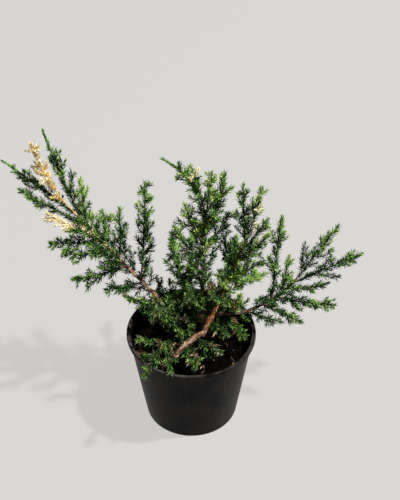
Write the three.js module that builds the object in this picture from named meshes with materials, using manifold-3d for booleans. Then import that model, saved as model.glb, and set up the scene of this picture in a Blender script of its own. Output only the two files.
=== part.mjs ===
// A young Chinese juniper in a round nursery pot.
//
// Millimetres, +Z up. The origin is the centre of the pot's flat underside. The plant is seen
// from -Y, with +X to the right. Every limb and spray is an arc given by where it leaves its
// parent (share of the parent's length), its heading in degrees (0 = +X, 90 = +Y), its rise
// above the level in degrees and its reach.

import * as THREE from 'three';
import { mergeVertices } from 'three/addons/utils/BufferGeometryUtils.js';
import Module from 'manifold-3d';

const wasm = await Module();
wasm.setup();

// Clear space between two pieces that touch on the real plant
const GAP = 0.3;

// Edges shorter than this are merged after a cut or join
const MERGE_SIZE = 0.1;

// Pot: a thin tapered shell with a rolled lip and drain holes in its floor
const RIM_RADIUS = 75;
const BASE_RADIUS = 54;
const POT_HEIGHT = 120;
const WALL = 1.4;
const FLOOR = 2;
const FOOT_ROUND = 2;
const LIP_REACH = 2.6;
const LIP_HEIGHT = 4.5;
const POT_SIDES = 36;
const DRAIN_HOLES = 6;
const DRAIN_RADIUS = 5;
const DRAIN_CIRCLE = 38;
const DRAIN_SIDES = 12;

// Soil: level where the trunk stands, and a little lower at the wall
const SOIL_HEIGHT = 100;
const SOIL_DIP = 2;
const SOIL_LEVEL_RADIUS = 48;

// Trunk: rises from its flat cut at the soil, then leans over to its fork
const TRUNK_FOOT = new THREE.Vector3(-18, -15, SOIL_HEIGHT + GAP);
const TRUNK_BEND = new THREE.Vector3(-11, -13.5, 109);
const TRUNK_FORK = new THREE.Vector3(14, -8, 125);
const TRUNK_HEADING = 13;
const TRUNK_RADIUS = 4.6;
const FORK_RADIUS = 3.5;
const FLARE = 2.4;
const FLARE_SHARE = 0.16;
const TRUNK_BURIED = 0.15;

// Boughs, each cut clear of the limbs before it in this list
const BOUGHS = {
  left: { on: 'trunk', at: 0.85, heading: 152, rise: 37, reach: 190, arch: 0, radius: 2.7 },
  centre: { on: 'trunk', at: 0.96, heading: 85, rise: 73, reach: 148, arch: 0, radius: 2.4 },
  upright: { on: 'trunk', at: 1, heading: 32, rise: 63, reach: 120, arch: 0, radius: 2.5 },
  right: { on: 'upright', at: 0.22, heading: 17, rise: 13, reach: 100, arch: -0.16, radius: 2.4 },
  front: { on: 'trunk', at: 0.4, heading: 205, rise: 27, reach: 30, arch: 0.05, radius: 2 },
  back_left: { on: 'trunk', at: 0.9, heading: 108, rise: 22, reach: 100, arch: 0.05, radius: 2.1 },
  back_right: { on: 'trunk', at: 0.98, heading: 68, rise: 20, reach: 100, arch: 0.05, radius: 2.1 },
};
const BOUGH_TAPER = 0.5;
const BOUGH_COLLAR = 0.22;
const COLLAR_SHARE = 0.07;
const BOUGH_STEP = 16;
const BOUGH_SIDES = 6;

// Sprays of foliage on each limb; a whip is a long shoot whose needles lie close near its tip
const SPRAYS = {
  left: [
    { at: 0.99, heading: 126, rise: 51, reach: 109, arch: 0, whip: true },
    { at: 1, heading: 150, rise: 56, reach: 100, arch: -0.08, cream: true },
    { at: 0.99, heading: 151, rise: 24, reach: 112, arch: 0.04, whip: true },
    { at: 0.9, heading: 162, rise: 25, reach: 93, arch: 0 },
    { at: 0.85, heading: 178, rise: 30, reach: 64, cream: true },
    { at: 0.935, heading: 99, rise: 30, reach: 62 },
    { at: 0.81, heading: 184, rise: 1, reach: 58 },
    { at: 0.78, heading: 95, rise: 21, reach: 46 },
    { at: 0.73, heading: 199, rise: 11, reach: 56 },
    { at: 0.66, heading: 90, rise: 49, reach: 58 },
    { at: 0.6, heading: 206, rise: 6, reach: 64 },
    { at: 0.475, heading: 86, rise: 52, reach: 112, arch: 0 },
    { at: 0.46, heading: 208, rise: 11, reach: 46 },
    { at: 0.25, heading: 206, rise: 34, reach: 61 },
    { at: 0.14, heading: 222, rise: 50, reach: 52 },
  ],
  centre: [
    { at: 1, heading: 167, rise: 53, reach: 79, arch: 0.12, whip: true },
    { at: 0.96, heading: 124, rise: 59, reach: 58 },
    { at: 0.92, heading: 80, rise: 46, reach: 54 },
    { at: 0.84, heading: 20, rise: 72, reach: 75 },
    { at: 0.74, heading: 118, rise: 24, reach: 55 },
    { at: 0.68, heading: 54, rise: 27, reach: 54 },
    { at: 0.62, heading: 181, rise: 56, reach: 58 },
    { at: 0.27, heading: 225, rise: 42, reach: 36 },
  ],
  upright: [
    { at: 1, heading: 95, rise: 53, reach: 65 },
    { at: 0.96, heading: 46, rise: 70, reach: 72, arch: -0.06 },
    { at: 0.92, heading: 14, rise: 54, reach: 49 },
    { at: 0.84, heading: 354, rise: 47, reach: 49 },
    { at: 0.74, heading: 106, rise: 10, reach: 49 },
    { at: 0.6, heading: 26, rise: -10, reach: 50, cream: true },
    { at: 0.38, heading: 241, rise: 50, reach: 34 },
    { at: 0.14, heading: 316, rise: -14, reach: 30 },
  ],
  right: [
    { at: 1, heading: 39, rise: 37, reach: 81, arch: 0 },
    { at: 0.96, heading: 14, rise: 20, reach: 88, arch: 0.02 },
    { at: 0.9, heading: 345, rise: 21, reach: 50 },
    { at: 0.82, heading: 66, rise: 61, reach: 45 },
    { at: 0.76, heading: 341, rise: 4, reach: 68 },
    { at: 0.7, heading: 77, rise: 64, reach: 96, arch: 0 },
    { at: 0.6, heading: 321, rise: 1, reach: 52 },
    { at: 0.4, heading: 329, rise: 1, reach: 44 },
    { at: 0.24, heading: 291, rise: 71, reach: 42 },
    { at: 0.12, heading: 309, rise: -22, reach: 39 },
  ],
  front: [
    { at: 1, heading: 254, rise: 5, reach: 60 },
    { at: 0.82, heading: 279, rise: 6, reach: 53 },
    { at: 0.66, heading: 190, rise: 20, reach: 38 },
  ],
  back_left: [
    { at: 1, heading: 96, rise: 0, reach: 43 },
    { at: 0.5, heading: 86, rise: 6, reach: 62 },
  ],
  back_right: [
    { at: 1, heading: 80, rise: 4, reach: 45 },
    { at: 0.74, heading: 38, rise: -4, reach: 60 },
  ],
  trunk: [
    { at: 0.6, heading: 280, rise: 13, reach: 57 },
    { at: 0.8, heading: 308, rise: 11, reach: 47 },
  ],
};

// Stem of a spray
const STEM_RADIUS = 1.05;
const STEM_TIP_RADIUS = 0.55;
const STEM_ARCH = -0.05;
const STEM_BARE = 0.2;
const STEM_STEPS = 5;
const FORK_REACH = 16;

// Side twigs: how many, how long, and how they stand off the stem. Those of a whip stand closer
// to it and get shorter sooner.
const TWIG_SPACING = 15;
const TWIG_LENGTH = 14;
const TWIG_SHARE = 0.2;
const TWIG_LENGTH_RANGE = 0.5;
const TWIG_NARROWING = 0.78;
const WHIP_TWIG_NARROWING = 0.9;
const TWIG_SHORTEST = 9;
const TWIG_ANGLE = 38;
const WHIP_TWIG_ANGLE = 27;
const TWIG_ANGLE_RANGE = 16;
const TWIG_TURN = 137.5;
const SPRAY_TURN = 47;
const TWIG_TURN_RANGE = 40;
const TWIG_ARCH = 0.12;
const TWIG_FIRST = 0.24;
const TWIG_LAST = 0.9;
const WHIP_TWIG_LAST = 0.72;
const TWIG_RADIUS = 0.75;
const TWIG_TIP_RADIUS = 0.5;

// Needles stand in pairs, each pair turned a quarter from the last
const NEEDLE_PITCH = 5;
const NEEDLE_OUT = 5.2;
const NEEDLE_AHEAD = 4.4;
const NEEDLE_RANGE = 0.3;
const NEEDLE_SIDES = 4;
const TIP_NARROWING = 0.45;
const WHIP_SHARE = 0.5;
const WHIP_OUT = 0.45;

// Space that a twig or needle keeps clear
const SPACE_MARGIN = 1.8;
const LIMB_MARGIN = 1.2;
const TWIG_PROBE = 3;
const STEM_PROBES = 8;

const FINISHES = {
  pot: { color: 0x151515, roughness: 0.45, metalness: 0 },
  soil: { color: 0x1c1510, roughness: 1, metalness: 0 },
  bark: { color: 0x8a5a3a, roughness: 0.9, metalness: 0 },
  green: { color: 0x3f7a45, roughness: 0.7, metalness: 0 },
  cream: { color: 0xd9cf9a, roughness: 0.7, metalness: 0 },
};

// Numbers from 0 to 1 that come out the same for the same seed
function seededNumbers(seed) {
  let state = seed;
  return () => {
    state = (state * 1664525 + 1013904223) % 4294967296;
    return state / 4294967296;
  };
}

const radians = THREE.MathUtils.degToRad;
const mix = THREE.MathUtils.lerp;

// Directions of a heading and rise: along it, and square to it upwards
function alongAndUp(heading, rise) {
  const h = radians(heading);
  const r = radians(rise);
  return {
    along: new THREE.Vector3(Math.cos(h) * Math.cos(r), Math.sin(h) * Math.cos(r), Math.sin(r)),
    up: new THREE.Vector3(-Math.cos(h) * Math.sin(r), -Math.sin(h) * Math.sin(r), Math.cos(r)),
  };
}

// A shallow parabola from its root, bowed towards its up direction by a share of its reach
class Arc extends THREE.Curve {
  constructor(root, along, up, reach, arch) {
    super();
    Object.assign(this, { root, along, up, reach, arch });
    this.left = up.clone().cross(along);
  }

  getPoint(t, target = new THREE.Vector3()) {
    const bow = this.arch * this.reach * 4 * t * (1 - t);
    return target.copy(this.root).addScaledVector(this.along, this.reach * t).addScaledVector(this.up, bow);
  }
}

function arcFrom(parent, { at, heading, rise, reach, arch }) {
  const { along, up } = alongAndUp(heading, rise);
  return new Arc(parent.getPoint(at), along, up, reach, arch);
}

// The directions across a curve at a share of its length: ahead, across and over
function frameAt(curve, t) {
  const ahead = curve.getTangent(THREE.MathUtils.clamp(t, 0, 1));
  const over = ahead.clone().cross(curve.left).normalize();
  const across = over.clone().cross(ahead);
  return { centre: curve.getPoint(t), ahead, across, over };
}

// One ring of points round a curve; each point has its own distance out and forward
function ringAt(curve, t, sides, pointAt) {
  const { centre, ahead, across, over } = frameAt(curve, t);
  return Array.from({ length: sides }, (_, side) => {
    const turn = (side / sides) * 2 * Math.PI;
    const outward = across.clone().multiplyScalar(Math.cos(turn)).addScaledVector(over, Math.sin(turn));
    return pointAt({ side, centre, ahead, outward });
  });
}

// A closed skin over a row of rings, flat at its start and pointed at its tip. Between two
// rings the faces fold along the line that joins the low points of a needle twig.
function skin(rings, tip) {
  const sides = rings[0].length;
  const points = [...rings.flat(), tip];
  const index = (ring, side) => ring * sides + (side % sides);
  const faces = [];
  for (let side = 1; side < sides - 1; side += 1) {
    faces.push([index(0, 0), index(0, side + 1), index(0, side)]);
  }
  for (let ring = 0; ring < rings.length - 1; ring += 1) {
    for (let side = 0; side < sides; side += 1) {
      const a = index(ring, side);
      const b = index(ring, side + 1);
      const c = index(ring + 1, side);
      const d = index(ring + 1, side + 1);
      if ((ring + side) % 2 === 0) {
        faces.push([a, b, c], [b, d, c]);
      } else {
        faces.push([a, b, d], [a, d, c]);
      }
    }
  }
  for (let side = 0; side < sides; side += 1) {
    faces.push([index(rings.length - 1, side), index(rings.length - 1, side + 1), points.length - 1]);
  }
  return toSolid(points.flatMap((point) => point.toArray()), faces.flat());
}

function toSolid(positions, triangles) {
  return new wasm.Manifold(new wasm.Mesh({
    numProp: 3,
    vertProperties: new Float32Array(positions),
    triVerts: new Uint32Array(triangles),
  }));
}

// The solid of a closed three.js geometry, without the faces that a lathe folds up on its axis
function geometrySolid(geometry) {
  const bare = geometry.clone();
  bare.deleteAttribute('normal');
  bare.deleteAttribute('uv');
  const merged = mergeVertices(bare, 1e-4);
  const triangles = [];
  for (let i = 0; i < merged.index.count; i += 3) {
    const face = [0, 1, 2].map((corner) => merged.index.getX(i + corner));
    if (new Set(face).size === 3) {
      triangles.push(...face);
    }
  }
  return toSolid(merged.attributes.position.array, triangles);
}

// The largest piece of a cut or joined solid, with its smallest edges merged
function mainPiece(solid) {
  const pieces = solid.simplify(MERGE_SIZE).decompose();
  return pieces.reduce((best, piece) => (piece.volume() > best.volume() ? piece : best));
}

function solidGeometry(solid) {
  const mesh = solid.getMesh();
  const geometry = new THREE.BufferGeometry();
  geometry.setAttribute('position', new THREE.BufferAttribute(Float32Array.from(mesh.vertProperties), 3));
  geometry.setIndex(Array.from(mesh.triVerts));
  geometry.computeVertexNormals();
  return geometry;
}

// A tapered limb, grown all round its faces where it is used to cut its neighbours clear
function limbSolid(limb, grow = 0) {
  const { curve, radiusAt, steps, sides = BOUGH_SIDES, first = 0 } = limb;
  const extra = grow / curve.getLength();
  const cornerGrow = grow / Math.cos(Math.PI / sides);
  const rings = Array.from({ length: steps + 1 }, (_, step) => {
    const t = mix(first - extra, 1 + extra, step / steps);
    const radius = radiusAt(THREE.MathUtils.clamp(t, 0, 1)) + cornerGrow;
    return ringAt(curve, t, sides, ({ centre, outward }) => centre.clone().addScaledVector(outward, radius));
  });
  const { centre, ahead } = frameAt(curve, 1 + extra);
  return skin(rings, centre.addScaledVector(ahead, radiusAt(1) / 2));
}

// Trunk, with its flare at the soil
const trunkCurve = new THREE.QuadraticBezierCurve3(TRUNK_FOOT, TRUNK_BEND, TRUNK_FORK);
trunkCurve.left = alongAndUp(TRUNK_HEADING + 90, 0).along;
const limbs = {
  trunk: {
    curve: trunkCurve,
    steps: 8,
    first: -TRUNK_BURIED,
    radiusAt: (t) => mix(TRUNK_RADIUS, FORK_RADIUS, t) + FLARE * Math.exp(-t / FLARE_SHARE),
  },
};

// Boughs
for (const [name, bough] of Object.entries(BOUGHS)) {
  const { radius } = bough;
  limbs[name] = {
    curve: arcFrom(limbs[bough.on].curve, bough),
    steps: Math.ceil(bough.reach / BOUGH_STEP),
    radiusAt: (t) => radius * (mix(1, BOUGH_TAPER, t) + BOUGH_COLLAR * Math.exp(-t / COLLAR_SHARE)),
  };
}

// Sprays, each with its stem and its place in the order of the seeds
const sprays = Object.entries(SPRAYS).flatMap(([bough, list]) => list.map((spray, place) => ({
  ...spray,
  bough,
  name: `${bough}_spray_${place + 1}`,
  stem: arcFrom(limbs[bough].curve, { arch: STEM_ARCH, ...spray }),
}))).map((spray, order) => ({ ...spray, seed: order + 1 }));

// Points along a curve, for measuring distances to it
function probes(curve, count) {
  return Array.from({ length: count + 1 }, (_, i) => curve.getPoint(i / count));
}

function distanceTo(point, chain) {
  let nearest = Infinity;
  const foot = new THREE.Vector3();
  for (let i = 0; i < chain.length - 1; i += 1) {
    new THREE.Line3(chain[i], chain[i + 1]).closestPointToPoint(point, true, foot);
    nearest = Math.min(nearest, foot.distanceTo(point));
  }
  return nearest;
}

const stemChains = sprays.map((spray) => probes(spray.stem, STEM_PROBES));
const limbChains = Object.values(limbs).map((limb) => ({
  chain: probes(limb.curve, STEM_PROBES),
  radius: limb.radiusAt(0.2),
}));

// A point is free for a spray where its own stem is the nearest one, no limb is close, and the
// soil and the pot's rim are below it
function isFree(point, spray, room) {
  const across = Math.hypot(point.x, point.y);
  if (across < RIM_RADIUS + room) {
    const floor = across > RIM_RADIUS - WALL - LIP_REACH - room ? POT_HEIGHT : SOIL_HEIGHT;
    if (point.z < floor + room) {
      return false;
    }
  }
  for (const { chain, radius } of limbChains) {
    if (distanceTo(point, chain) < radius + room) {
      return false;
    }
  }
  const own = distanceTo(point, stemChains[spray.seed - 1]);
  return stemChains.every((chain, i) => i === spray.seed - 1 || distanceTo(point, chain) > own + SPACE_MARGIN);
}

// The side twigs of a spray: longest low on the stem, turned round it like leaves on a shoot
function sideTwigs(spray) {
  const random = seededNumbers(spray.seed);
  const { stem, reach, whip } = spray;
  const longest = TWIG_LENGTH + TWIG_SHARE * reach;
  const narrowest = whip ? WHIP_TWIG_NARROWING : TWIG_NARROWING;
  const middleAngle = whip ? WHIP_TWIG_ANGLE : TWIG_ANGLE;
  const last = whip ? WHIP_TWIG_LAST : TWIG_LAST;
  const count = Math.round(reach / TWIG_SPACING);
  const twigs = [];
  for (let i = 0; i < count; i += 1) {
    const place = mix(TWIG_FIRST, last, (i + random()) / count);
    const turn = radians(i * TWIG_TURN + (random() - 0.5) * TWIG_TURN_RANGE + spray.seed * SPRAY_TURN);
    const angle = radians(middleAngle + (random() - 0.5) * TWIG_ANGLE_RANGE);
    const length = longest * (1 - narrowest * place) * (1 + (random() - 0.5) * TWIG_LENGTH_RANGE);
    const { centre, ahead, across, over } = frameAt(stem, place);
    const outward = across.multiplyScalar(Math.cos(turn)).addScaledVector(over, Math.sin(turn));
    const along = ahead.clone().multiplyScalar(Math.cos(angle)).addScaledVector(outward, Math.sin(angle));
    const up = outward.multiplyScalar(Math.cos(angle)).addScaledVector(ahead, -Math.sin(angle));
    const free = freeLength(new Arc(centre, along, up, length, TWIG_ARCH), spray);
    if (free >= TWIG_SHORTEST) {
      twigs.push(new Arc(centre, along, up, free, TWIG_ARCH));
    }
  }
  return twigs;
}

// How much of a twig, with the needles at its tip, stays in its spray's space
function freeLength(twig, spray) {
  const steps = Math.ceil(twig.reach / TWIG_PROBE);
  for (let step = 1; step <= steps; step += 1) {
    const probe = twig.getPoint(step / steps + NEEDLE_AHEAD / twig.reach);
    if (!isFree(probe, spray, LIMB_MARGIN + NEEDLE_OUT / 2)) {
      return ((step - 1) / steps) * twig.reach;
    }
  }
  return twig.reach;
}

// A twig set with needles: a slim core of four sides whose corners are drawn out, turn about
function needleTwig(curve, spray, random, { bare, radiusAt, outAt }) {
  const length = curve.getLength();
  const count = Math.max(2, Math.round((length * (1 - bare)) / NEEDLE_PITCH));
  const shares = Array.from({ length: count }, (_, i) => mix(bare, 1, (i + 0.5) / count));
  const bareShares = bare > 0 ? [0, bare] : [0];
  const rings = [...bareShares, ...shares].map((t, ring) => ringAt(curve, t, NEEDLE_SIDES, (place) => {
    const { side, centre, ahead, outward } = place;
    const core = centre.clone().addScaledVector(outward, radiusAt(t));
    if (ring < bareShares.length || (ring + side) % 2 === 1) {
      return core;
    }
    const size = 1 + (random() - 0.5) * NEEDLE_RANGE;
    const out = NEEDLE_OUT * outAt(t) * size;
    const tip = centre.clone().addScaledVector(outward, out).addScaledVector(ahead, NEEDLE_AHEAD * size);
    return isFree(tip, spray, LIMB_MARGIN) ? tip : core;
  }));
  return skin(rings, curve.getPoint(1 + NEEDLE_AHEAD / length));
}

const stemRadius = (t) => mix(STEM_RADIUS, STEM_TIP_RADIUS, t);
const twigRadius = (t) => mix(TWIG_RADIUS, TWIG_TIP_RADIUS, t);

// Needles get shorter towards the tip, and lie close along the end of a whip
const narrowing = (t) => 1 - TIP_NARROWING * t ** 3;
const whipNarrowing = (t) => mix(narrowing(t), WHIP_OUT, THREE.MathUtils.smoothstep(t, 1 - WHIP_SHARE, 1));

function spraySolid(spray) {
  const random = seededNumbers(spray.seed * 1000);
  let solid = needleTwig(spray.stem, spray, random, {
    bare: STEM_BARE,
    radiusAt: stemRadius,
    outAt: spray.whip ? whipNarrowing : narrowing,
  });
  for (const twig of sideTwigs(spray)) {
    solid = solid.add(needleTwig(twig, spray, random, {
      bare: 0,
      radiusAt: twigRadius,
      outAt: narrowing,
    }));
  }
  return mainPiece(cutClear(solid, [...limbCutters, ...stemCutters(spray)]));
}

function cutClear(solid, cutters) {
  return cutters.reduce((left, cutter) => left.subtract(cutter), solid);
}

// The grown stems that leave the same limb just before this spray's own
function stemCutters(spray) {
  const neighbours = sprays.filter((other) => other.bough === spray.bough && other.seed < spray.seed);
  return neighbours
    .filter((other) => other.stem.root.distanceTo(spray.stem.root) < FORK_REACH)
    .map(({ stem }) => limbSolid({ curve: stem, steps: STEM_STEPS, sides: NEEDLE_SIDES, radiusAt: stemRadius }, GAP));
}

// Pot shell with drain holes
function potSolid() {
  const wallTop = RIM_RADIUS - LIP_REACH;
  const taper = (wallTop - BASE_RADIUS) / POT_HEIGHT;
  const wallAt = (z) => BASE_RADIUS + taper * z;
  const profile = [
    [0, 0],
    [BASE_RADIUS - FOOT_ROUND, 0],
    [wallAt(FOOT_ROUND), FOOT_ROUND],
    [wallAt(POT_HEIGHT - LIP_HEIGHT), POT_HEIGHT - LIP_HEIGHT],
    [RIM_RADIUS - 0.5, POT_HEIGHT - LIP_HEIGHT],
    [RIM_RADIUS, POT_HEIGHT - LIP_HEIGHT + 0.8],
    [RIM_RADIUS, POT_HEIGHT - 1.2],
    [RIM_RADIUS - 0.9, POT_HEIGHT],
    [wallTop - WALL / 2, POT_HEIGHT],
    [wallTop - WALL, POT_HEIGHT - 1],
    [wallAt(FLOOR + FOOT_ROUND) - WALL, FLOOR + FOOT_ROUND],
    [wallAt(FLOOR) - WALL - FOOT_ROUND, FLOOR],
    [0, FLOOR],
  ];
  let pot = latheSolid(profile);
  for (let hole = 0; hole < DRAIN_HOLES; hole += 1) {
    const turn = (hole / DRAIN_HOLES) * 2 * Math.PI;
    const drill = new THREE.CylinderGeometry(DRAIN_RADIUS, DRAIN_RADIUS, FLOOR * 4, DRAIN_SIDES);
    drill.rotateX(Math.PI / 2);
    drill.translate(DRAIN_CIRCLE * Math.cos(turn), DRAIN_CIRCLE * Math.sin(turn), 0);
    pot = pot.subtract(geometrySolid(drill));
  }
  return mainPiece(pot);
}

// Soil that fills the pot up to its level
function soilSolid() {
  const taper = (RIM_RADIUS - LIP_REACH - BASE_RADIUS) / POT_HEIGHT;
  const fillAt = (z) => BASE_RADIUS + taper * z - WALL - 2 * GAP;
  const bottom = FLOOR + GAP;
  return latheSolid([
    [0, bottom],
    [fillAt(bottom) - FOOT_ROUND, bottom],
    [fillAt(bottom + FOOT_ROUND), bottom + FOOT_ROUND],
    [fillAt(SOIL_HEIGHT - SOIL_DIP), SOIL_HEIGHT - SOIL_DIP],
    [SOIL_LEVEL_RADIUS, SOIL_HEIGHT],
    [0, SOIL_HEIGHT],
  ]);
}

// A profile of [radius, height] turned round the upright axis
function latheSolid(profile) {
  const geometry = new THREE.LatheGeometry(profile.map(([r, z]) => new THREE.Vector2(r, z)), POT_SIDES);
  geometry.rotateX(Math.PI / 2);
  return geometrySolid(geometry);
}

// Everything above the level of the soil
function aboveSoil() {
  const block = new THREE.BoxGeometry(100, 100, 100);
  block.translate(TRUNK_FOOT.x, TRUNK_FOOT.y, TRUNK_FOOT.z + 50);
  return geometrySolid(block);
}

const juniper = new THREE.Group();

function addPiece(name, solid, finish) {
  const mesh = new THREE.Mesh(solidGeometry(solid), new THREE.MeshStandardMaterial(FINISHES[finish]));
  mesh.name = name;
  juniper.add(mesh);
}

addPiece('pot', potSolid(), 'pot');
addPiece('soil', soilSolid(), 'soil');
addPiece('trunk', mainPiece(limbSolid(limbs.trunk).intersect(aboveSoil())), 'bark');

const limbCutters = [limbSolid(limbs.trunk, GAP)];
for (const name of Object.keys(BOUGHS)) {
  addPiece(`${name}_bough`, mainPiece(cutClear(limbSolid(limbs[name]), limbCutters)), 'bark');
  limbCutters.push(limbSolid(limbs[name], GAP));
}

for (const spray of sprays) {
  addPiece(spray.name, spraySolid(spray), spray.cream ? 'cream' : 'green');
}

export default juniper;
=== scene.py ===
from dataclasses import dataclass, field, replace
from math import ceil, cos, hypot, pi, radians, sin, sqrt

import bpy
import numpy as np
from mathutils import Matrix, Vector, noise


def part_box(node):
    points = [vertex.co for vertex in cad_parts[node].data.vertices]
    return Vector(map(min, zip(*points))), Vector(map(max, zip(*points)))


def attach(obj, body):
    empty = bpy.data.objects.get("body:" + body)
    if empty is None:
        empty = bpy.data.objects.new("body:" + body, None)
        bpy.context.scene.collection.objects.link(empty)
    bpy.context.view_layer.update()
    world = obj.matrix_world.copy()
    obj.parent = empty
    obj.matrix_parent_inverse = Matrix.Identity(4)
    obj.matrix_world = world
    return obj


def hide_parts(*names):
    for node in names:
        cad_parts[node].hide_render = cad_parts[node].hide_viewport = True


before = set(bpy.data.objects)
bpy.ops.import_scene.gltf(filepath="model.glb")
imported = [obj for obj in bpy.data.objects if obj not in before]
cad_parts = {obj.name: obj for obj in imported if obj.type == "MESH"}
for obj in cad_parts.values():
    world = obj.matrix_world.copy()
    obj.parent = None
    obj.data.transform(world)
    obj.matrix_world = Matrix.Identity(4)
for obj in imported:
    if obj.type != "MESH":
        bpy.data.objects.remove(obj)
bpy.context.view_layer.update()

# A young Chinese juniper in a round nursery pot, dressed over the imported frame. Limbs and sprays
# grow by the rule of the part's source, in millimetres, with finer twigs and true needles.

MM = 0.001

# Camera of the photograph, looking down on the pot
CAMERA_PLACE = (0.0100, -0.9326, 0.9947)
CAMERA_TILT = 51
CAMERA_LENS = 79.74
SENSOR_WIDTH = 36
TO_CAMERA = np.array((0.0, -0.78, 0.63))

# Light from the right and above, a faint sky, and a pale floor that glows softly
KEY_PLACE = (2.6, -0.5, 4.85)
AIM = (0, 0, 0.16)
KEY_SIZE = 0.3
KEY_POWER = 505
KEY_COLOUR = (1.0, 0.975, 0.95)
SKY_COLOUR = (0.93, 0.95, 0.97, 1)
SKY_STRENGTH = 0.035
FLOOR_SIZE = 9000
FLOOR_COLOUR = (0.07, 0.0695, 0.068, 1)
GLOW_COLOUR = (1, 0.975, 0.955, 1)
GLOW_STRENGTH = 0.59

# Pot and soil, from the frame
POT_HIGH = np.array(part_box("pot")[1]) / MM
SOIL_LOW, SOIL_HIGH = (np.array(corner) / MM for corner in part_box("soil"))
RIM_RADIUS = POT_HIGH[0]
POT_HEIGHT = POT_HIGH[2]
SOIL_HEIGHT = SOIL_HIGH[2]
BASE_RADIUS = 54
WALL = 1.4
FLOOR = 2
FOOT_ROUND = 2
LIP_REACH = 2.6
LIP_HEIGHT = 4.5
POT_SIDES = 180
DRAIN_HOLES = 6
DRAIN_RADIUS = 5
DRAIN_CIRCLE = 38
NEW_PLASTIC = (0.002, 0.002, 0.0022)
# Colour of dust and scratches, and of the painted reflection inside the left wall
WORN_AND_REFLECTING_PLASTIC = (0.11, 0.095, 0.083)

# A painted reflection, in pale streaks, fades in on the inside of the left wall over these spans:
# X, how far it faces X, and Z
REFLECTION_X = (-0.042, -0.06)
REFLECTION_FACING = (0.2, 0.5)
REFLECTION_Z = (0.092, 0.104)

# Out of round: size, waves round the pot and where they start; and lumps of soil: size and width
POT_WAVES = ((0.35, 2, 0.6), (0.15, 5, 2))
SOIL_LUMPS = ((1.5, 14), (1, 5), (0.6, 2.2))

# Trunk
TRUNK_FOOT = np.array((-18, -15, SOIL_HEIGHT + 0.3))
TRUNK_BEND = np.array((-11, -13.5, 109))
TRUNK_FORK = np.array((14, -8, 125))
TRUNK_HEADING = 13
TRUNK_RADIUS = 4.6
FORK_RADIUS = 3.5
FLARE = 2.4
FLARE_SHARE = 0.16
TRUNK_BURIED = 0.15

# Bark: sides and step of its mesh, width and depth of its strips, and where the trunk's begins
TRUNK_BARK = 64, 0.5, 1.5, 0.55, -TRUNK_BURIED
BOUGH_BARK = 24, 1, 1.1, 0.3

# Boughs: parent, share of its length, heading, rise, reach, arch and radius
BOUGHS = {
    "left": ("trunk", 0.85, 152, 37, 190, 0, 2.7),
    "centre": ("trunk", 0.96, 85, 73, 148, 0, 2.4),
    "upright": ("trunk", 1, 32, 63, 120, 0, 2.5),
    "right": ("upright", 0.22, 17, 13, 100, -0.16, 2.4),
    "front": ("trunk", 0.4, 205, 27, 30, 0.05, 2),
    "back_left": ("trunk", 0.9, 108, 22, 100, 0.05, 2.1),
    "back_right": ("trunk", 0.98, 68, 20, 100, 0.05, 2.1),
}
BOUGH_TAPER = 0.5
BOUGH_COLLAR = 0.22
COLLAR_SHARE = 0.07

# Stretches of the boughs whose bark shows: no twigs stand there on the side that faces the camera,
# and the bough's own needles begin a little past them
LEAFY_FROM = 0.1
FACES_CAMERA = 0.1
BARE_BARK = {"left": (0.28, 0.54), "upright": (0.1, 0.36), "right": (0.05, 0.5),
             "front": (0, 0.4), "centre": (0, 0.12)}

# The finer twigs leave the trunk's bark in view: how many points of it, and how far before them
# and beside the line of sight a twig hides them
SIGHT_LINES = 12
SIGHT_REACH = 55
SIGHT_WIDTH = 6
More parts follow.
